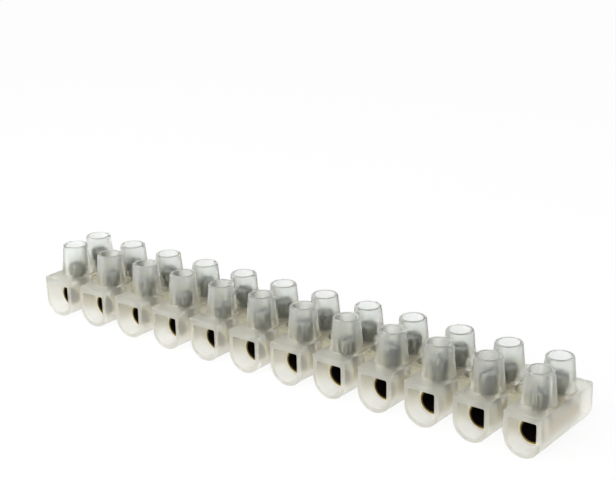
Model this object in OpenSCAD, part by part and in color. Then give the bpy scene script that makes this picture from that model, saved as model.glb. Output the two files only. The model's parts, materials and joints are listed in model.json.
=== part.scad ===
// Screw terminal strip: a milky plastic housing of U-shaped ways in a row, each with a brass tube inside
// and two slotted clamp screws that go down through the towers into the tube.
// Millimetres. X runs along the strip, Y along the wires, Z up.
// The strip stands on z = 0, centred on X and Y.

/* [Strip] */
// Number of ways in the row
way_count = 12; // [2:1:12]
// Distance from one way to the next
way_pitch = 10; // [9.5:0.25:13]
// Width of one way
way_w = 7.25; // [7:0.25:8.5]
// Length of a way along its wires
way_l = 18.25; // [16.5:0.25:22]
// Height of a way without its towers
way_h = 8.1; // [7.8:0.1:10]
// Width of the bevel on a way's outer edges
edge_bevel = 0.18; // [0.1:0.02:0.3]

/* [Wire entries] */
// Depth of the entry pocket, from the end of a way to the end of the brass tube
entry_depth = 3.45; // [2.4:0.05:4]
// Plastic above the entry pocket
entry_roof = 1.2; // [0.8:0.1:1.6]
// Plastic under the entry pocket
entry_floor = 0.9; // [0.6:0.05:1.2]
// Room around the brass tube as it passes through the pocket
entry_gap = 0.2; // [0.2:0.05:0.4]
// Width of the bevel around the pocket's mouth
mouth_bevel = 0.2; // [0.1:0.02:0.3]

/* [Brass tube] */
// Outside diameter of the tube
tube_d = 4.9; // [4.5:0.1:5.2]
// Wall of the tube, around the bore for the bared wire
tube_wall = 0.45; // [0.3:0.05:0.6]
// Room between the tube and the housing, all round
tube_gap = 0.05; // [0.02:0.01:0.1]
// Width of the bevel on the bore's two mouths
tube_bevel = 0.12; // [0.05:0.01:0.2]

/* [Screw towers] */
// Distance between the two towers of a way
tower_spacing = 6.8; // [6.4:0.1:8]
// Height of a tower above the way
tower_h = 6.1; // [5:0.1:8]
// Diameter of a tower at its top
tower_top_d = 5.1; // [4.8:0.1:5.6]
// Diameter of a tower at its foot
tower_foot_d = 6.1; // [5.8:0.1:6.4]
// Room around the screw's head in the tower's bore
head_gap = 0.2; // [0.1:0.05:0.3]
// Rounding of a tower's outer rim
rim_r = 0.25; // [0.1:0.05:0.3]
// Width of the bevel on a tower's bore
rim_bevel = 0.12; // [0.06:0.02:0.2]
// Radius of the fillet around a tower's foot
foot_fillet = 0.35; // [0.2:0.05:0.4]

/* [Clamp screws] */
// Thread diameter
thread_d = 2.5; // [2.2:0.1:2.6]
// Thread pitch
thread_pitch = 0.45; // [0.4:0.05:0.5]
// Room between the tip and the tube's floor when the screw is fully down
tip_gap = 0.15; // [0.1:0.05:0.6]
// Height of the tip's cone
tip_h = 0.45; // [0.4:0.05:0.6]
// Diameter of the tip's flat end
tip_d = 1.2; // [0.8:0.1:1.4]
// Head diameter
head_d = 3.4; // [3.2:0.1:3.5]
// Head height
head_h = 1.9; // [1.4:0.1:2.2]
// Width of the bevel on the head's top edge
head_bevel = 0.2; // [0.1:0.05:0.3]
// Width of the screwdriver slot
slot_w = 0.6; // [0.5:0.05:0.8]
// Depth of the screwdriver slot
slot_depth = 0.9; // [0.6:0.1:1.1]
// Room around the thread in the tube's tapped holes
thread_gap = 0.05; // [0.02:0.01:0.1]
// Room under the head when the screw is fully down
seat_gap = 0.05; // [0.02:0.01:0.2]

/* [Webs] */
// Length of the web between two ways, along the wires
web_l = 5.8; // [4.5:0.1:7]
// How far the web's top lies below the top of the ways
web_drop = 0.25; // [0.1:0.05:1]
// How far the web runs into the wall of each way
web_bite = 1; // [0.8:0.05:1.2]
// Diameter of the fixing hole through the web
fixing_d = 3; // [2.4:0.1:3.2]

/* [Hidden] */
$fn = 64;
// Overshoot of every cutter, so that no cut ends on a face
over = 0.5;

entry_r = tube_d / 2 + tube_gap + entry_gap;
axis_z = entry_floor + entry_r;
entry_top = way_h - entry_roof;
tube_l = way_l - 2 * entry_depth;
tube_bore_d = tube_d - 2 * tube_wall;
tube_top = axis_z + tube_d / 2;
tower_top = way_h + tower_h;
web_w = way_pitch - way_w + 2 * web_bite;
screw_down_z = tube_top + seat_gap;
shank_l = seat_gap + tube_d / 2 + tube_bore_d / 2 - tip_gap;
tower_bore_d = head_d + 2 * head_gap;
// Share of the foot's fillet that dips under the top of the way, so that it meets the top at an angle
fillet_dip_share = 0.06;
fillet_dip = fillet_dip_share * foot_fillet;

// Turns that each screw stands backed out from fully down, way by way
front_turns = [4, 4.7, 6.4, 4.6, 4.4, 6.2, 6.6, 4.2, 7, 7.4, 7.2, 4.9];
back_turns = [6.7, 5.8, 6.5, 6.3, 6.5, 6.2, 5.8, 5.5, 6, 6.6, 4.1, 6];

function way_x(i) = (i - (way_count + 1) / 2) * way_pitch;
function way_label(i) = str(i < 10 ? "0" : "", i);
function insert_name(i) = str("brass_insert_", way_label(i));
function front_name(i) = str("clamp_screw_front_", way_label(i));
function back_name(i) = str("clamp_screw_back_", way_label(i));

// Lays a shape that was turned about Z along the wires
module along_wires() {
    rotate([90, 0, 0]) children();
}

// A box centred on X and Y, standing on z = 0, with every edge but the bottom ones bevelled
module bevelled_box(w, l, h, bevel) {
    intersection() {
        linear_extrude(h) polygon([
            [w / 2, l / 2 - bevel], [w / 2 - bevel, l / 2], [bevel - w / 2, l / 2], [-w / 2, l / 2 - bevel],
            [-w / 2, bevel - l / 2], [bevel - w / 2, -l / 2], [w / 2 - bevel, -l / 2], [w / 2, bevel - l / 2]
        ]);
        along_wires() linear_extrude(l + over, center = true) polygon([
            [-w / 2, -over], [w / 2, -over], [w / 2, h - bevel],
            [w / 2 - bevel, h], [bevel - w / 2, h], [-w / 2, h - bevel]
        ]);
        rotate([90, 0, 90]) linear_extrude(w + over, center = true) polygon([
            [-l / 2, -over], [l / 2, -over], [l / 2, h - bevel],
            [l / 2 - bevel, h], [bevel - l / 2, h], [-l / 2, h - bevel]
        ]);
    }
}

// The U-shaped block of one way: a box on a half-round bottom
module way_block() {
    r = way_w / 2;
    translate([0, 0, r]) bevelled_box(way_w, way_l, way_h - r, edge_bevel);
    intersection() {
        translate([0, 0, r]) along_wires() rotate_extrude() polygon([
            [0, -way_l / 2], [r - edge_bevel, -way_l / 2], [r, edge_bevel - way_l / 2],
            [r, way_l / 2 - edge_bevel], [r - edge_bevel, way_l / 2], [0, way_l / 2]
        ]);
        translate([-way_w, -way_l, -over]) cube([2 * way_w, 2 * way_l, r + over]);
    }
}

// One screw tower, with a rounded rim and a fillet at its foot, standing on z = 0
module tower() {
    top_r = tower_top_d / 2;
    foot_r = tower_foot_d / 2;
    rotate_extrude() {
        polygon([
            [0, -over], [foot_r, -over], [foot_r, foot_fillet],
            [top_r, tower_h - rim_r], [0, tower_h - rim_r]
        ]);
        difference() {
            translate([foot_r - over, -over]) square([foot_fillet + over, foot_fillet + over - fillet_dip]);
            translate([foot_r + foot_fillet, foot_fillet - fillet_dip]) circle(foot_fillet);
        }
        translate([0, tower_h - 2 * rim_r]) square([top_r - rim_r, 2 * rim_r]);
        translate([top_r - rim_r, tower_h - rim_r]) circle(rim_r);
    }
}

// The pocket cut into the end of a way: round below, square above, with a bevelled mouth at y = 0
module entry_cutter() {
    rise = entry_top - axis_z;
    flare = mouth_bevel + over;
    intersection() {
        along_wires() rotate_extrude() polygon([
            [0, -over], [entry_r + flare, -over], [entry_r, mouth_bevel],
            [entry_r, entry_depth], [0, entry_depth]
        ]);
        translate([-way_w, -way_l, -way_h]) cube([2 * way_w, 2 * way_l, way_h]);
    }
    intersection() {
        linear_extrude(rise + flare) polygon([
            [entry_r, -entry_depth], [entry_r, -mouth_bevel], [entry_r + flare, over],
            [-entry_r - flare, over], [-entry_r, -mouth_bevel], [-entry_r, -entry_depth]
        ]);
        rotate([90, 0, 90]) linear_extrude(2 * way_w, center = true) polygon([
            [-entry_depth, 0], [over, 0], [over, rise + flare], [-mouth_bevel, rise], [-entry_depth, rise]
        ]);
    }
}

// The bore of one tower, from its bevelled mouth at z = 0 down to the brass tube
module tower_cutter() {
    depth = tower_top - axis_z;
    r = tower_bore_d / 2;
    rotate_extrude() polygon([
        [0, -depth], [r, -depth], [r, -rim_bevel], [r + rim_bevel + over, over], [0, over]
    ]);
}

// Everything that is cut out of one way
module way_cutters() {
    translate([0, 0, axis_z]) along_wires() cylinder(d = tube_d + 2 * tube_gap, h = way_l, center = true);
    for (side = [0, 180])
        rotate([0, 0, side]) translate([0, way_l / 2, axis_z]) entry_cutter();
    for (side = [-1, 1])
        translate([0, side * tower_spacing / 2, tower_top]) tower_cutter();
}

// The one-piece moulding
module housing() {
    color("#dfe3df") difference() {
        union() {
            for (i = [1:way_count])
                translate([way_x(i), 0, 0]) {
                    way_block();
                    for (side = [-1, 1])
                        translate([0, side * tower_spacing / 2, way_h]) tower();
                }
            for (i = [1:way_count - 1])
                translate([way_x(i) + way_pitch / 2 - web_w / 2, -web_l / 2, 0])
                    cube([web_w, web_l, way_h - web_drop]);
        }
        for (i = [1:way_count])
            translate([way_x(i), 0, 0]) way_cutters();
        for (i = [1:way_count - 1])
            translate([way_x(i) + way_pitch / 2, 0, -over]) cylinder(d = fixing_d, h = way_h + 2 * over);
    }
}

// The brass tube of one way, with a tapped hole under each tower
module brass_insert(i) {
    bore_r = tube_bore_d / 2;
    color("#b08d3c") translate([way_x(i), 0, axis_z]) difference() {
        along_wires() rotate_extrude() polygon([
            [bore_r + tube_bevel, -tube_l / 2], [tube_d / 2, -tube_l / 2],
            [tube_d / 2, tube_l / 2], [bore_r + tube_bevel, tube_l / 2],
            [bore_r, tube_l / 2 - tube_bevel], [bore_r, tube_bevel - tube_l / 2]
        ]);
        for (side = [-1, 1])
            translate([0, side * tower_spacing / 2, 0])
                cylinder(d = thread_d + 2 * thread_gap, h = tube_d);
    }
}

// One clamp screw, turned so many turns out from fully down; its fine thread is drawn as a plain shank
module clamp_screw(i, side, turns) {
    translate([way_x(i), side * tower_spacing / 2, screw_down_z + turns * thread_pitch])
        rotate([0, 0, 360 * turns])
            color("#8b8d8f") difference() {
                rotate_extrude() polygon([
                    [0, -shank_l], [tip_d / 2, -shank_l], [thread_d / 2, tip_h - shank_l], [thread_d / 2, 0],
                    [head_d / 2, 0], [head_d / 2, head_h - head_bevel], [head_d / 2 - head_bevel, head_h],
                    [0, head_h]
                ]);
                translate([-head_d, -slot_w / 2, head_h - slot_depth]) cube([2 * head_d, slot_w, head_h]);
            }
}

housing();
for (i = [1:way_count]) {
    brass_insert(i);
    clamp_screw(i, -1, front_turns[i - 1]);
    clamp_screw(i, 1, back_turns[i - 1]);
}
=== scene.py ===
"""Looks of the screw terminal strip: milky housing, brass tubes, threaded clamp screws, camera, light and floor."""
import json
import math

import bmesh
import bpy
from mathutils import Matrix, Vector

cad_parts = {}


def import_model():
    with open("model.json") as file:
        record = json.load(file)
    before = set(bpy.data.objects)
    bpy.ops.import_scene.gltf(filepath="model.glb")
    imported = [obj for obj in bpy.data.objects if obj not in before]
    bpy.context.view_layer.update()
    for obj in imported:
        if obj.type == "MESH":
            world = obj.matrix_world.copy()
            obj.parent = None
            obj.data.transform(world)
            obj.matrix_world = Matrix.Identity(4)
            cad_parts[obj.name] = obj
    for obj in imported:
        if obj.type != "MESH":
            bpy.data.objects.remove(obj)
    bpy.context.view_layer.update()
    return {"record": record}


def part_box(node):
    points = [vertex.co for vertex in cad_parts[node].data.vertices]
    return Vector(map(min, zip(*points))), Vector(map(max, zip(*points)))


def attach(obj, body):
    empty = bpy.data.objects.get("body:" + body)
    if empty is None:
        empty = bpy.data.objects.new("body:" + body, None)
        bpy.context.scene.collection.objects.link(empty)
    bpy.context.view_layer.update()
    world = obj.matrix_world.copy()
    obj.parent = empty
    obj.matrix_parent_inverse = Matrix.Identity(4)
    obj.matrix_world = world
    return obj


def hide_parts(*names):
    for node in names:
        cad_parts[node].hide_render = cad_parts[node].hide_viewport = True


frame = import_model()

MM = 0.001

# Sizes that the frame gives, in millimetres
MOUNTS = {mount["name"]: mount for mount in frame["record"]["mounts"]}
FRONT_ENTRIES = sorted(name for name in MOUNTS if name.startswith("wire_entry_front_"))
WAY_X = [MOUNTS[name]["pos_m"][0] / MM for name in FRONT_ENTRIES]
WAY_COUNT = len(WAY_X)
PITCH = WAY_X[1] - WAY_X[0]
AXIS_Z = MOUNTS[FRONT_ENTRIES[0]]["pos_m"][2] / MM
ENTRY_R = MOUNTS[FRONT_ENTRIES[0]]["dims"]["r_mm"]
FIXING_R = MOUNTS["fixing_hole_middle"]["dims"]["r_mm"]
WEB_H = MOUNTS["fixing_hole_middle"]["dims"]["length_mm"]
HOUSING_LOW, HOUSING_HIGH = (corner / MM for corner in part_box("housing"))
TUBE_LOW, TUBE_HIGH = (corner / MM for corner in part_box("brass_insert_01"))
SCREW_LOW, SCREW_HIGH = (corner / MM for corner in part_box("clamp_screw_front_01"))
WAY_L = HOUSING_HIGH.y - HOUSING_LOW.y
WAY_W = HOUSING_HIGH.x - HOUSING_LOW.x - (WAY_COUNT - 1) * PITCH
TOWER_TOP = HOUSING_HIGH.z
TUBE_L = TUBE_HIGH.y - TUBE_LOW.y
TUBE_R = (TUBE_HIGH.x - TUBE_LOW.x) / 2
TOWER_Y = -(SCREW_LOW.y + SCREW_HIGH.y) / 2
HEAD_R = (SCREW_HIGH.x - SCREW_LOW.x) / 2
SCREW_L = SCREW_HIGH.z - SCREW_LOW.z

# Sizes that only the solids hold, in millimetres
WAY_H = 8.1
ENTRY_TOP = 6.9
TUBE_GAP = 0.05
TUBE_SEAT_R = TUBE_R + TUBE_GAP
TUBE_BORE_R = 2.0
TOWER_TOP_R = 2.55
TOWER_FOOT_R = 3.05
TOWER_BORE_R = 1.9
TOWER_RIM_R = 0.25
FOOT_FILLET = 0.35
FILLET_DIP = 0.06
WEB_L = 5.8
WEB_BITE = 1.0
THREAD_R = 1.25
THREAD_PITCH = 0.45
TAPPED_R = 1.3
HEAD_H = 1.9
HEAD_BEVEL = 0.2
SLOT_W = 0.6
SLOT_DEPTH = 0.9
TIP_R = 0.6
TIP_H = 0.45
SEAT_GAP = 0.05
SCREW_DOWN_Z = AXIS_Z + TUBE_R + SEAT_GAP

# Small forms that are drawn only here, or finer than in the solids, in millimetres
EDGE_R = 0.22
ENTRY_CORNER_R = 0.3
LEAST_CORNER_R = 0.02
MOUTH_R = 0.12
TOWER_BORE_RIM_R = 0.08
TUBE_LIP_R = 0.1
UNDER_HEAD_R = 0.08
THREAD_DEPTH = 0.27
NECK_H = 0.5 * THREAD_PITCH

# Where the foot fillet leaves the way's top, and where the rim leaves the tower's side, in degrees
FILLET_START = 260
RIM_START = 5

# The corners of the thread's outline: the share of the pitch, and the radius there
THREAD_CORNERS = [
    (0, THREAD_R), (0.16, THREAD_R), (0.48, THREAD_R - THREAD_DEPTH), (0.68, THREAD_R - THREAD_DEPTH)]

# Fineness of the meshes, the turns that the shank's ends cut off, and how far a cutter reaches past its piece
ROUND_STEPS = 64
ARC_STEPS = 5
UNDER_HEAD_STEPS = 3
THREAD_STEPS = 40
EXTRA_TURNS = 2
OVER = 0.5
SMOOTH_ANGLE = 32

# Points nearer than this are one point, in millimetres: in a solid, in the thread and where two ways meet
MERGE = 1e-5
THREAD_MERGE = 1e-4
WAY_MERGE = 1e-3

# Faces of the housing, the tube and the screw by the look that they take, where that isn't the piece's first
# The housing's outer walls take a brighter copy of the plastic: painted light
TOWER_FACE, WEB_FACE, LIT_WALL_FACE, BORE_FACE = 1, 2, 3, 4
# The tube's bore and end faces take painted shade, and the outer edge of its ends a painted highlight
TUBE_BORE_SHADE_FACE, END_SHADE_FACE, EDGE_HIGHLIGHT_FACE = 1, 2, 3
TOP_FACE = 1

# What tells those faces apart, in millimetres; a face looks up when its normal's height is above UPWARD
SKIN = 0.001
TUBE_BORE_SKIN = 0.02
END_BAND = 0.12
END_EDGE = 0.17
UPWARD = 0.5

# Plastic: how clear it is, its satin, how it bends light, and its colour at some heights in millimetres
WAY_CLEAR = 0.85
WAY_ROUGH = 0.36
WAY_IOR = 1.25
# The ways' plastic is warm all over, darker towards the top and lighter towards the bottom: painted shade above,
# painted light from the floor below
WAY_SHADED_COLOURS = [
    (1.5, (0.99, 0.985, 0.945)), (3.5, (0.975, 0.965, 0.89)),
    (5.5, (0.93, 0.92, 0.85)), (8.1, (0.82, 0.82, 0.765))]
# A less clear and so brighter copy of the ways' plastic for the outer walls: painted light
LIT_WALL_CLEAR = 0.68
TOWER_CLEAR = 0.9
TOWER_ROUGH = 0.285
BORE_ROUGH = 0.12
TOWER_IOR = 1.27
# Towers darker and warmer at the foot, painted shade where the tower stands on the way, lighter and cooler towards the
# rim
TOWER_SHADED_COLOURS = [
    (8.1, (0.73, 0.73, 0.655)), (9.5, (0.80, 0.805, 0.745)),
    (12.0, (0.905, 0.925, 0.905)), (14.2, (0.935, 0.95, 0.94))]
WEB_CLEAR = 0.7
WEB_ROUGH = 0.5
WEB_IOR = 1.3
# Webs darker and browner towards their top: painted shade in the gap between the ways, on a beige tint of the plastic
WEB_SHADED_COLOURS = [(2.0, (0.95, 0.93, 0.84)), (7.8, (0.745, 0.715, 0.54))]
PLASTIC_CLOUD_DARK = 0.97
PLASTIC_ROUGH_SPREAD = 0.035

# Metals and the painted shade in the tube's bores: the two colours that each varies between, and how rough they are
BRASS_LOW = (0.46, 0.36, 0.16)
BRASS_HIGH = (0.60, 0.49, 0.25)
BRASS_ROUGH = 0.4
# Dark brown end faces of the tube: painted shade at the back of the wire pockets
BRASS_END_SHADE_LOW = (0.09, 0.066, 0.017)
BRASS_END_SHADE_HIGH = (0.15, 0.11, 0.03)
BRASS_END_ROUGH = 0.26
# Bright brass on the outer edge of the tube's ends: a painted highlight
BRASS_EDGE_HIGHLIGHT_LOW = (0.70, 0.60, 0.31)
BRASS_EDGE_HIGHLIGHT_HIGH = (0.84, 0.74, 0.43)
BRASS_ROUGH_SPREAD = 0.14
# Near black inside the tube's bore, with almost no shine: painted shade
TUBE_BORE_SHADE_LOW = (0.004, 0.002, 0.003)
TUBE_BORE_SHADE_HIGH = (0.008, 0.005, 0.005)
TUBE_BORE_ROUGH = 0.55
TUBE_BORE_SHINE = 0.02
# The screw's sides run from near black, painted shade inside the towers, to a dull grey; its upward faces and slot
# take a plainer, lighter copy
STEEL_SHADE_LOW = (0.001, 0.001, 0.001)
STEEL_HIGH = (0.44, 0.45, 0.36)
STEEL_TOP_LOW = (0.20, 0.205, 0.19)
STEEL_TOP_HIGH = (0.32, 0.325, 0.30)
STEEL_ROUGH_LOW = 0.34
STEEL_ROUGH_HIGH = 0.5

# Noise in the materials: features per metre, and octaves
PLASTIC_CLOUD = (180, 3)
PLASTIC_GRAIN = (2600, 4)
BRASS_CLOUD = (420, 4)
BRASS_LINES = (3000, 3)
TUBE_BORE_CLOUD = (2500, 3)
STEEL_STREAKS = (2400, 2)
STEEL_GRAIN = (4000, 3)

# How the noise is drawn out along the tube and along the screw, and which of its values stand for low and high
ALONG_TUBE = (1, 0.06, 1)
ALONG_SCREW = (1, 1, 0.1)
NOISE_RANGE = (0.3, 0.7)
STREAK_RANGE = (0.44, 0.6)

# Bumps: strength, and height in metres
PLASTIC_BUMP = (0.2, 0.00002)
BRASS_BUMP = (0.2, 0.00001)
STEEL_BUMP = (0.15, 0.00001)

# Light and floor; places and sizes in metres
WHITE = (1, 1, 1, 1)
WORLD_LIGHT = 0.8
KEY_PLACE = (0.1, -0.6, 0.5)
KEY_SIZE = 0.6
KEY_POWER = 2.6
LEFT_PLACE = (-0.10, -0.14, 0.06)
LEFT_SIZE = 0.2
LEFT_POWER = 0.3
FLOOR_HALF = 3.0
FLOOR_COLOUR = (0.9, 0.9, 0.9, 1)

# Share of the floor's own glow, in the light that it throws and in what is seen of it
FLOOR_GLOW_LIGHT = 1.0
FLOOR_GLOW_SEEN = 0.88

# The photograph's camera, in degrees and millimetres; it sees from CLIP_START to CLIP_END, in metres
CAMERA_AZIMUTH = 37.783
CAMERA_ELEVATION = 19.534
CAMERA_ROLL = -1.258
CAMERA_DISTANCE = 280.609
LOOK_AT = Vector((3.870, 0.0, 25.863))
LENS = 88.40
SENSOR_WIDTH = 36.0
CLIP_START = 0.01
CLIP_END = 10


def arc(centre, radius, start, end, steps=ARC_STEPS):
    """Points on an arc, from one angle to another in degrees."""
    angles = [math.radians(start + (end - start) * k / steps) for k in range(steps + 1)]
    return [(centre[0] + radius * math.cos(a), centre[1] + radius * math.sin(a)) for a in angles]


def place_object(name, data):
    """Adds an object with this data to the scene."""
    thing = bpy.data.objects.new(name, data)
    bpy.context.scene.collection.objects.link(thing)
    return thing


def mesh_object(name, verts, faces):
    mesh = bpy.data.meshes.new(name)
    mesh.from_pydata(verts, [], faces)
    return place_object(name, mesh)


def merge_and_orient(mesh):
    """Joins points that coincide, and turns every face outwards."""
    bm = bmesh.new()
    bm.from_mesh(mesh)
    bmesh.ops.remove_doubles(bm, verts=bm.verts, dist=MERGE)
    bmesh.ops.recalc_face_normals(bm, faces=bm.faces)
    bm.to_mesh(mesh)
    bm.free()


def rings_to_mesh(name, rings):
    """A closed solid through a row of rings that have the same number of points."""
    count = len(rings[0])
    verts = [point for ring in rings for point in ring]
    faces = [list(range(count))[::-1], [(len(rings) - 1) * count + k for k in range(count)]]
    for low in range(len(rings) - 1):
        for k in range(count):
            after = (k + 1) % count
            faces.append([low * count + k, low * count + after, (low + 1) * count + after, (low + 1) * count + k])
    piece = mesh_object(name, verts, faces)
    merge_and_orient(piece.data)
    return piece


def lathe(name, profile, centre=(0, 0)):
    """A solid turned about Z from (radius, height) points that start and end off the axis."""
    angles = [2 * math.pi * k / ROUND_STEPS for k in range(ROUND_STEPS)]
    rings = [[(centre[0] + r * math.cos(a), centre[1] + r * math.sin(a), z) for a in angles] for r, z in profile]
    return rings_to_mesh(name, rings)


def slab(name, low, high, half_depth, bottom, top):
    """A block from low to high in x, as deep on both sides of y = 0, from bottom to top."""
    corners = [(low, -half_depth), (high, -half_depth), (high, half_depth), (low, half_depth)]
    return rings_to_mesh(name, [[(x, y, z) for x, y in corners] for z in (bottom, top)])


def u_ring(y, half_w, centre_z, top, corner_r, inset):
    """The outline of a U at one place along the wires: round below, square with round corners above."""
    r = half_w - inset
    corner = max(corner_r - inset, LEAST_CORNER_R)
    right = (r - corner, top - inset - corner)
    outline = arc((0, centre_z), r, 180, 360, ROUND_STEPS // 2)
    outline += arc(right, corner, 0, 90)
    outline += arc((-right[0], right[1]), corner, 90, 180)
    return [(x, y, z) for x, z in outline]


def way_block():
    """One way's block, with every edge rounded."""
    end = WAY_L / 2
    rounding = arc((EDGE_R, EDGE_R), EDGE_R, 180, 270)
    near = [(-end + depth, inset) for inset, depth in rounding[::-1]]
    places = near + [(-y, inset) for y, inset in near[::-1]]
    return rings_to_mesh("way", [u_ring(y, WAY_W / 2, WAY_W / 2, WAY_H, EDGE_R, inset) for y, inset in places])


def tower(y):
    """One screw tower: a fillet at the foot, a slight taper and a rounded rim."""
    fillet_centre = (TOWER_FOOT_R + FOOT_FILLET, WAY_H + FOOT_FILLET * (1 - FILLET_DIP))
    fillet = arc(fillet_centre, FOOT_FILLET, FILLET_START, 180)
    rim = arc((TOWER_TOP_R - TOWER_RIM_R, TOWER_TOP - TOWER_RIM_R), TOWER_RIM_R, RIM_START, 90)
    profile = [(fillet[0][0], WAY_H - OVER)] + fillet + rim
    return lathe("tower", profile, (0, y))


def entry_cutter(side):
    """The wire entry's pocket, with a rounded mouth, at the front (-1) or the back (1)."""
    mouth = WAY_L / 2
    rounding = arc((MOUTH_R, MOUTH_R), MOUTH_R, 180, 270)
    places = [(TUBE_L / 2, 0)] + [(mouth - inset, MOUTH_R - depth) for depth, inset in rounding]
    places = sorted(places) + [(mouth + OVER, MOUTH_R)]
    rings = [u_ring(side * y, ENTRY_R, AXIS_Z, ENTRY_TOP, ENTRY_CORNER_R, -flare) for y, flare in places]
    return rings_to_mesh("entry", rings)


def tower_cutter(y):
    """A tower's bore, with a rounded rim, down to the tube."""
    rim_centre = (TOWER_BORE_R + TOWER_BORE_RIM_R, TOWER_TOP - TOWER_BORE_RIM_R)
    rim = arc(rim_centre, TOWER_BORE_RIM_R, 180, 90)
    profile = [(TOWER_BORE_R, AXIS_Z), (TOWER_BORE_R, WAY_H)] + rim + [(rim[-1][0], TOWER_TOP + OVER)]
    return lathe("tower_bore", profile, (0, y))


def tube_cutter():
    """The tube's seat, right through the way."""
    rings = [[(x, y, z) for x, z in arc((0, AXIS_Z), TUBE_SEAT_R, 0, 360, ROUND_STEPS)[:-1]]
             for y in (-WAY_L / 2, WAY_L / 2)]
    return rings_to_mesh("tube_seat", rings)


def web_block(side):
    """Half of the web towards a neighbour, drawn past the middle of the gap so that it can be cut there."""
    low, high = sorted((side * (WAY_W / 2 - WEB_BITE), side * (PITCH / 2 + OVER)))
    return slab("web", low, high, WEB_L / 2, 0, WEB_H)


def fixing_cutter(side):
    """The fixing hole in the middle of a web."""
    profile = [(FIXING_R, -OVER), (FIXING_R, WAY_H + OVER)]
    return lathe("fixing", profile, (side * PITCH / 2, 0))


def combine(piece, others, operation):
    """Unites others with the piece or cuts them out of it, and leaves only the piece."""
    for other in others:
        step = piece.modifiers.new("step", "BOOLEAN")
        step.operation = operation
        step.solver = "EXACT"
        step.object = other
    view = bpy.context.evaluated_depsgraph_get()
    mesh = bpy.data.meshes.new_from_object(piece.evaluated_get(view))
    piece.modifiers.clear()
    piece.data = mesh
    for other in others:
        bpy.data.objects.remove(other)
    return piece


def way_cell(web_sides):
    """One way with its towers, cuts and half webs, open where the webs meet the next ways."""
    sides = (-1, 1)
    cell = combine(way_block(), [tower(side * TOWER_Y) for side in sides] + [web_block(s) for s in web_sides], "UNION")
    cutters = [tube_cutter()] + [entry_cutter(side) for side in sides]
    cutters += [tower_cutter(side * TOWER_Y) for side in sides] + [fixing_cutter(s) for s in web_sides]
    combine(cell, cutters, "DIFFERENCE")
    bm = bmesh.new()
    bm.from_mesh(cell.data)
    for side in web_sides:
        bmesh.ops.bisect_plane(
            bm, geom=bm.verts[:] + bm.edges[:] + bm.faces[:], dist=MERGE,
            plane_co=(side * PITCH / 2, 0, 0), plane_no=(side, 0, 0), clear_outer=True)
    bm.to_mesh(cell.data)
    bm.free()
    return cell


def sort_housing_faces(mesh):
    """Gives each face of the moulding its look: bores, towers, webs, outer walls, and the rest of the ways; the outer
    walls take a less clear, brighter copy of the plastic, painted light.
    """
    for face in mesh.polygons:
        aside = min(abs(face.center.x - x) for x in WAY_X)
        below = min(face.center.z - WAY_W / 2, 0)
        if math.hypot(aside, abs(face.center.y) - TOWER_Y) < TOWER_BORE_R + SKIN:
            face.material_index = BORE_FACE
        elif face.center.z > WAY_H + SKIN:
            face.material_index = TOWER_FACE
        elif aside > WAY_W / 2 + SKIN:
            face.material_index = WEB_FACE
        # Outer walls below the top's rounding take the brighter copy: painted light
        elif face.center.z < WAY_H - EDGE_R / 2 and math.hypot(aside, below) > WAY_W / 2 - EDGE_R / 2:
            face.material_index = LIT_WALL_FACE


def housing():
    """The one-piece moulding, joined from cells that share their web edges."""
    cells = {sides: way_cell(sides) for sides in ((1,), (-1, 1), (-1,))}
    bm = bmesh.new()
    for i, x in enumerate(WAY_X):
        sides = (1,) if i == 0 else (-1,) if i == WAY_COUNT - 1 else (-1, 1)
        mesh = cells[sides].data.copy()
        mesh.transform(Matrix.Translation((x, 0, 0)))
        bm.from_mesh(mesh)
        bpy.data.meshes.remove(mesh)
    for cell in cells.values():
        bpy.data.objects.remove(cell)
    bmesh.ops.remove_doubles(bm, verts=bm.verts, dist=WAY_MERGE)
    bmesh.ops.triangulate(bm, faces=[face for face in bm.faces if len(face.verts) > 4])
    mesh = bpy.data.meshes.new("housing_moulding")
    bm.to_mesh(mesh)
    bm.free()
    sort_housing_faces(mesh)
    return place_object("housing_moulding", mesh)


def brass_tube():
    """One way's tube about the wire axis, with rounded ends and a tapped hole under each tower."""
    half = TUBE_L / 2
    end = arc((TUBE_R - TUBE_LIP_R, half - TUBE_LIP_R), TUBE_LIP_R, 0, 90) + [(TUBE_R - END_EDGE, half)]
    end += arc((TUBE_BORE_R + TUBE_LIP_R, half - TUBE_LIP_R), TUBE_LIP_R, 90, 180)
    profile = end + [(r, -y) for r, y in end[::-1]]
    angles = [2 * math.pi * k / ROUND_STEPS for k in range(ROUND_STEPS)]
    verts = [(r * math.cos(a), y, r * math.sin(a)) for r, y in profile for a in angles]
    count = len(profile)
    faces = []
    for k in range(count):
        here, after = k * ROUND_STEPS, (k + 1) % count * ROUND_STEPS
        for j in range(ROUND_STEPS):
            n = (j + 1) % ROUND_STEPS
            faces.append([here + j, here + n, after + n, after + j])
    tube = mesh_object("tube", verts, faces)
    merge_and_orient(tube.data)
    holes = [lathe("tapped", [(TAPPED_R, 0), (TAPPED_R, 2 * TUBE_R)], (0, side * TOWER_Y)) for side in (-1, 1)]
    combine(tube, holes, "DIFFERENCE")
    for face in tube.data.polygons:
        x, y, z = face.center
        # The bore takes the near black of painted shade
        if math.hypot(x, z) < TUBE_BORE_R + TUBE_BORE_SKIN:
            face.material_index = TUBE_BORE_SHADE_FACE
        # The end faces take painted shade of the pockets, the outer band of the ends a painted highlight
        elif abs(y) > half - END_BAND:
            face.material_index = END_SHADE_FACE if math.hypot(x, z) < TUBE_R - END_EDGE else EDGE_HIGHLIGHT_FACE
    return tube


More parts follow.
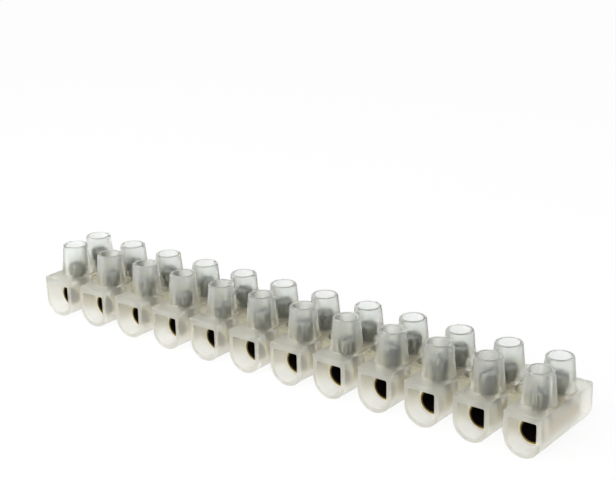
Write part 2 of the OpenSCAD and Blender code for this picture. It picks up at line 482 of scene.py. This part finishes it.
def threaded_shank():
    """The screw's shank with its cut thread, from its tip up to the underside of the head at z = 0."""
    shank = SCREW_L - HEAD_H
    turns = math.ceil(shank / THREAD_PITCH) + EXTRA_TURNS
    verts, faces = [], []
    for j in range(THREAD_STEPS * turns + 1):
        angle = 2 * math.pi * j / THREAD_STEPS
        for phase, radius in THREAD_CORNERS:
            z = (j / THREAD_STEPS + phase - EXTRA_TURNS) * THREAD_PITCH - shank + THREAD_PITCH
            z = min(max(z, -shank), 0.0)
            tip = TIP_R + (THREAD_R - TIP_R) * min((z + shank) / TIP_H, 1)
            r = min(THREAD_R if z > -NECK_H else radius, tip)
            verts.append((r * math.cos(angle), r * math.sin(angle), z))
    per = len(THREAD_CORNERS)
    for j in range(THREAD_STEPS * turns):
        for k in range(per):
            a, b = j * per + k, (j + 1) * per + k
            c = b + 1 if k + 1 < per else (j + 1 + THREAD_STEPS) * per
            d = a + 1 if k + 1 < per else (j + THREAD_STEPS) * per
            if c < len(verts):
                faces.append([a, b, c, d])
    screw = mesh_object("screw", verts, faces)
    bm = bmesh.new()
    bm.from_mesh(screw.data)
    bmesh.ops.remove_doubles(bm, verts=bm.verts, dist=THREAD_MERGE)
    bmesh.ops.dissolve_degenerate(bm, edges=bm.edges, dist=THREAD_MERGE)
    bmesh.ops.holes_fill(bm, edges=[edge for edge in bm.edges if len(edge.link_faces) == 1])
    bmesh.ops.recalc_face_normals(bm, faces=bm.faces)
    bm.to_mesh(screw.data)
    bm.free()
    return screw


def slotted_head():
    """The screw's cheese head, from its underside at z = 0, with the slot cut in."""
    under = arc((HEAD_R - UNDER_HEAD_R, UNDER_HEAD_R), UNDER_HEAD_R, 270, 360, UNDER_HEAD_STEPS)
    crown = arc((HEAD_R - HEAD_BEVEL, HEAD_H - HEAD_BEVEL), HEAD_BEVEL, 0, 90)
    head = lathe("head", under + crown)
    slot = slab("slot", -2 * HEAD_R, 2 * HEAD_R, SLOT_W / 2, HEAD_H - SLOT_DEPTH, HEAD_H + OVER)
    return combine(head, [slot], "DIFFERENCE")


def clamp_screw():
    """A slotted cheese-head screw with a cut thread; z = 0 is the underside of its head."""
    shank = threaded_shank()
    screw = combine(slotted_head(), [shank], "UNION")
    # Upward faces and the slot take the lighter copy; the rest the copy darkened with painted shade
    for face in screw.data.polygons:
        in_slot = abs(face.center.y) < SLOT_W / 2 + SKIN and face.center.z > HEAD_H - SLOT_DEPTH - SKIN
        if face.normal.z > UPWARD or in_slot:
            face.material_index = TOP_FACE
    return screw


def principled(name):
    """A new material: itself, its nodes and links, its shader, and the place on the piece for its noise."""
    material = bpy.data.materials.new(name)
    material.use_nodes = True
    nodes = material.node_tree.nodes
    place = nodes.new("ShaderNodeTexCoord").outputs["Object"]
    return material, nodes, material.node_tree.links, nodes["Principled BSDF"], place


def noise(nodes, links, kind, source, stretch=(1, 1, 1)):
    """Noise in the piece's own place; kind is its features per metre and its octaves."""
    mapping = nodes.new("ShaderNodeMapping")
    mapping.inputs["Scale"].default_value = stretch
    links.new(source, mapping.inputs["Vector"])
    texture = nodes.new("ShaderNodeTexNoise")
    texture.inputs["Scale"].default_value, texture.inputs["Detail"].default_value = kind
    links.new(mapping.outputs["Vector"], texture.inputs["Vector"])
    return texture.outputs["Fac"]


def ramp(nodes, links, fac, stops):
    """Colours along a factor, from (place, colour) pairs."""
    node = nodes.new("ShaderNodeValToRGB")
    while len(node.color_ramp.elements) < len(stops):
        node.color_ramp.elements.new(0.5)
    for element, (place, colour) in zip(node.color_ramp.elements, stops):
        element.position = place
        element.color = (*colour, 1)
    links.new(fac, node.inputs["Fac"])
    return node.outputs["Color"]


def between(nodes, links, fac, low, high, ends=NOISE_RANGE):
    """A colour that varies from low to high with a noise."""
    return ramp(nodes, links, fac, list(zip(ends, (low, high))))


def grey(value):
    return (value, value, value)


def bump(nodes, links, shader, height, kind):
    """Fine relief; kind is its strength and its height in metres."""
    node = nodes.new("ShaderNodeBump")
    node.inputs["Strength"].default_value, node.inputs["Distance"].default_value = kind
    links.new(height, node.inputs["Height"])
    links.new(node.outputs["Normal"], shader.inputs["Normal"])


def by_height(nodes, links, source, colours):
    """Colours along the height, from (millimetres, colour) pairs."""
    split = nodes.new("ShaderNodeSeparateXYZ")
    links.new(source, split.inputs["Vector"])
    share = nodes.new("ShaderNodeMapRange")
    share.inputs["From Max"].default_value = TOWER_TOP * MM
    links.new(split.outputs["Z"], share.inputs["Value"])
    return ramp(nodes, links, share.outputs["Result"], [(z / TOWER_TOP, colour) for z, colour in colours])


def milky_plastic(name, clear, rough, ior, colours):
    """Natural polyethylene: cloudy white, letting soft light and dim shapes through; its colour changes with the
    height as given, carrying painted shade and painted light.
    """
    material, nodes, links, shader, place = principled(name)
    cloud = between(
        nodes, links, noise(nodes, links, PLASTIC_CLOUD, place), grey(PLASTIC_CLOUD_DARK), grey(1.0))
    clouded = nodes.new("ShaderNodeVectorMath")
    clouded.operation = "MULTIPLY"
    links.new(by_height(nodes, links, place, colours), clouded.inputs[0])
    links.new(cloud, clouded.inputs[1])
    links.new(clouded.outputs["Vector"], shader.inputs["Base Color"])
    grain = noise(nodes, links, PLASTIC_GRAIN, place)
    satin = between(nodes, links, grain, grey(rough), grey(rough + PLASTIC_ROUGH_SPREAD))
    links.new(satin, shader.inputs["Roughness"])
    bump(nodes, links, shader, grain, PLASTIC_BUMP)
    shader.inputs["IOR"].default_value = ior
    shader.inputs["Transmission Weight"].default_value = clear
    return material


def brass(name, low, high, rough):
    """Drawn brass, a little dulled, with fine lines along the tube."""
    material, nodes, links, shader, place = principled(name)
    cloud = noise(nodes, links, BRASS_CLOUD, place)
    links.new(between(nodes, links, cloud, low, high), shader.inputs["Base Color"])
    lines = noise(nodes, links, BRASS_LINES, place, ALONG_TUBE)
    satin = between(nodes, links, lines, grey(rough), grey(rough + BRASS_ROUGH_SPREAD))
    links.new(satin, shader.inputs["Roughness"])
    bump(nodes, links, shader, lines, BRASS_BUMP)
    shader.inputs["Metallic"].default_value = 1.0
    return material


def painted_shade_bore():
    """The inside of a tube, painted near black and almost without shine: painted shade."""
    material, nodes, links, shader, place = principled("painted_shade_bore")
    cloud = noise(nodes, links, TUBE_BORE_CLOUD, place)
    links.new(between(nodes, links, cloud, TUBE_BORE_SHADE_LOW, TUBE_BORE_SHADE_HIGH), shader.inputs["Base Color"])
    shader.inputs["Roughness"].default_value = TUBE_BORE_ROUGH
    shader.inputs["Specular IOR Level"].default_value = TUBE_BORE_SHINE
    return material


def zinc_steel(name, low, high):
    """Zinc-plated steel, dull, with streaks of two tones along the screw; on the screw's sides the darker tone is near
    black, painted shade.
    """
    material, nodes, links, shader, place = principled(name)
    streaks = noise(nodes, links, STEEL_STREAKS, place, ALONG_SCREW)
    links.new(between(nodes, links, streaks, low, high, STREAK_RANGE), shader.inputs["Base Color"])
    grain = noise(nodes, links, STEEL_GRAIN, place)
    rough = between(nodes, links, grain, grey(STEEL_ROUGH_LOW), grey(STEEL_ROUGH_HIGH))
    links.new(rough, shader.inputs["Roughness"])
    bump(nodes, links, shader, grain, STEEL_BUMP)
    shader.inputs["Metallic"].default_value = 1.0
    return material


def finish_piece(piece, body, node, slot, *materials):
    """Puts a piece into the frame: metres, shading, material and body, and hides the CAD node that it stands for."""
    piece.data.transform(Matrix.Scale(MM, 4))
    piece.data.polygons.foreach_set("use_smooth", [True] * len(piece.data.polygons))
    piece.data.set_sharp_from_angle(angle=math.radians(SMOOTH_ANGLE))
    for material in materials:
        piece.data.materials.append(material)
    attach(piece, body)
    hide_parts(node)


def copy_of(pattern, name, spot):
    """A copy of a pattern piece, with a mesh of its own, moved to its spot."""
    mesh = pattern.data.copy()
    mesh.name = name
    mesh.transform(spot)
    return place_object(name, mesh)


def dress_strip():
    """The housing, and a tube and two screws for each way."""
    ways = milky_plastic("milky_plastic", WAY_CLEAR, WAY_ROUGH, WAY_IOR, WAY_SHADED_COLOURS)
    towers = milky_plastic("milky_plastic_towers", TOWER_CLEAR, TOWER_ROUGH, TOWER_IOR, TOWER_SHADED_COLOURS)
    webs = milky_plastic("milky_plastic_webs", WEB_CLEAR, WEB_ROUGH, WEB_IOR, WEB_SHADED_COLOURS)
    # The outer walls' copy is less clear and so brighter: painted light
    walls = milky_plastic("milky_plastic_lit_walls", LIT_WALL_CLEAR, WAY_ROUGH, WAY_IOR, WAY_SHADED_COLOURS)
    bores = milky_plastic("milky_plastic_bores", TOWER_CLEAR, BORE_ROUGH, TOWER_IOR, TOWER_SHADED_COLOURS)
    finish_piece(housing(), "strip", "housing", "milky_plastic", ways, towers, webs, walls, bores)
    tube = brass_tube()
    # The tube's bore and end faces take painted shade, and the outer edge of its ends a painted highlight
    tube_materials = (brass("brass", BRASS_LOW, BRASS_HIGH, BRASS_ROUGH), painted_shade_bore(),
                      brass("brass_end_painted_shade", BRASS_END_SHADE_LOW, BRASS_END_SHADE_HIGH, BRASS_END_ROUGH),
                      brass("brass_edge_painted_highlight", BRASS_EDGE_HIGHLIGHT_LOW, BRASS_EDGE_HIGHLIGHT_HIGH, BRASS_ROUGH))
    screw = clamp_screw()
    # The sides' copy goes down to near black, painted shade inside the towers; the upward faces' copy is lighter and
    # plainer
    screw_materials = (zinc_steel("zinc_steel", STEEL_SHADE_LOW, STEEL_HIGH),
                       zinc_steel("zinc_steel_top", STEEL_TOP_LOW, STEEL_TOP_HIGH))
    for i, x in enumerate(WAY_X, 1):
        node = f"brass_insert_{i:02d}"
        piece = copy_of(tube, f"tube_{i:02d}", Matrix.Translation((x, 0, AXIS_Z)))
        finish_piece(piece, "strip", node, "brass", *tube_materials)
        for side in ("front", "back"):
            node = f"clamp_screw_{side}_{i:02d}"
            low, high = (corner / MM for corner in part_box(node))
            under_head = high.z - HEAD_H
            turns = (under_head - SCREW_DOWN_Z) / THREAD_PITCH
            spot = Matrix.Translation(((low.x + high.x) / 2, (low.y + high.y) / 2, under_head))
            turned = spot @ Matrix.Rotation(2 * math.pi * turns, 4, "Z")
            piece = copy_of(screw, f"screw_{side}_{i:02d}", turned)
            finish_piece(piece, f"screw_{side}_{i:02d}", node, "zinc_steel", *screw_materials)
    bpy.data.objects.remove(tube)
    bpy.data.objects.remove(screw)


def camera():
    a, e, q = (math.radians(v) for v in (CAMERA_AZIMUTH, CAMERA_ELEVATION, CAMERA_ROLL))
    back = Vector((math.sin(a) * math.cos(e), -math.cos(a) * math.cos(e), math.sin(e)))
    level = Vector((math.cos(a), math.sin(a), 0))
    rise = back.cross(level)
    right = level * math.cos(q) + rise * math.sin(q)
    up = rise * math.cos(q) - level * math.sin(q)
    data = bpy.data.cameras.new("camera")
    data.lens = LENS
    data.sensor_width = SENSOR_WIDTH
    data.sensor_fit = "HORIZONTAL"
    data.clip_start = CLIP_START
    data.clip_end = CLIP_END
    seat = (LOOK_AT + back * CAMERA_DISTANCE) * MM
    eye = place_object("camera", data)
    eye.matrix_world = Matrix((
        (right.x, up.x, back.x, seat.x), (right.y, up.y, back.y, seat.y), (right.z, up.z, back.z, seat.z),
        (0, 0, 0, 1)))
    bpy.context.scene.camera = eye


def seen_ray(nodes, links):
    """1 for rays from the camera, off a gloss or through the plastic, and 0 for the light on the object."""
    path = nodes.new("ShaderNodeLightPath")
    total = path.outputs["Is Camera Ray"]
    for name in ("Is Glossy Ray", "Is Transmission Ray"):
        either = nodes.new("ShaderNodeMath")
        either.operation = "MAXIMUM"
        links.new(total, either.inputs[0])
        links.new(path.outputs[name], either.inputs[1])
        total = either.outputs["Value"]
    return total


def world():
    """Even light from all round, and a white backdrop."""
    sky = bpy.data.worlds.new("studio")
    sky.use_nodes = True
    nodes, links = sky.node_tree.nodes, sky.node_tree.links
    nodes.clear()
    out = nodes.new("ShaderNodeOutputWorld")
    light = nodes.new("ShaderNodeBackground")
    light.inputs["Color"].default_value = WHITE
    light.inputs["Strength"].default_value = WORLD_LIGHT
    backdrop = nodes.new("ShaderNodeBackground")
    backdrop.inputs["Color"].default_value = WHITE
    mix = nodes.new("ShaderNodeMixShader")
    links.new(seen_ray(nodes, links), mix.inputs["Fac"])
    links.new(light.outputs["Background"], mix.inputs[1])
    links.new(backdrop.outputs["Background"], mix.inputs[2])
    links.new(mix.outputs["Shader"], out.inputs["Surface"])
    bpy.context.scene.world = sky


def floor():
    """A white floor that glows like a light table, and of which a faint shadow is seen."""
    half = FLOOR_HALF
    corners = [(-half, -half, 0), (half, -half, 0), (half, half, 0), (-half, half, 0)]
    plane = mesh_object("floor", corners, [[0, 1, 2, 3]])
    material = bpy.data.materials.new("floor")
    material.use_nodes = True
    nodes, links = material.node_tree.nodes, material.node_tree.links
    nodes.clear()
    out = nodes.new("ShaderNodeOutputMaterial")
    cloth = nodes.new("ShaderNodeBsdfDiffuse")
    cloth.inputs["Color"].default_value = FLOOR_COLOUR
    glow = nodes.new("ShaderNodeEmission")
    glow.inputs["Color"].default_value = WHITE
    mix = nodes.new("ShaderNodeMixShader")
    share = nodes.new("ShaderNodeMapRange")
    share.inputs["To Min"].default_value = FLOOR_GLOW_LIGHT
    share.inputs["To Max"].default_value = FLOOR_GLOW_SEEN
    links.new(seen_ray(nodes, links), share.inputs["Value"])
    links.new(share.outputs["Result"], mix.inputs["Fac"])
    links.new(cloth.outputs["BSDF"], mix.inputs[1])
    links.new(glow.outputs["Emission"], mix.inputs[2])
    links.new(mix.outputs["Shader"], out.inputs["Surface"])
    plane.data.materials.append(material)


def softbox(name, place, size, power):
    """A square lamp that looks at the middle of the strip; place and size are in metres."""
    data = bpy.data.lights.new(name, "AREA")
    data.shape = "SQUARE"
    data.size = size
    data.energy = power
    lamp = place_object(name, data)
    lamp.location = place
    lamp.rotation_euler = (-Vector(place)).to_track_quat("-Z", "Y").to_euler()


bpy.context.scene.view_settings.view_transform = "Standard"
camera()
world()
floor()
softbox("key", KEY_PLACE, KEY_SIZE, KEY_POWER)
softbox("left", LEFT_PLACE, LEFT_SIZE, LEFT_POWER)
dress_strip()
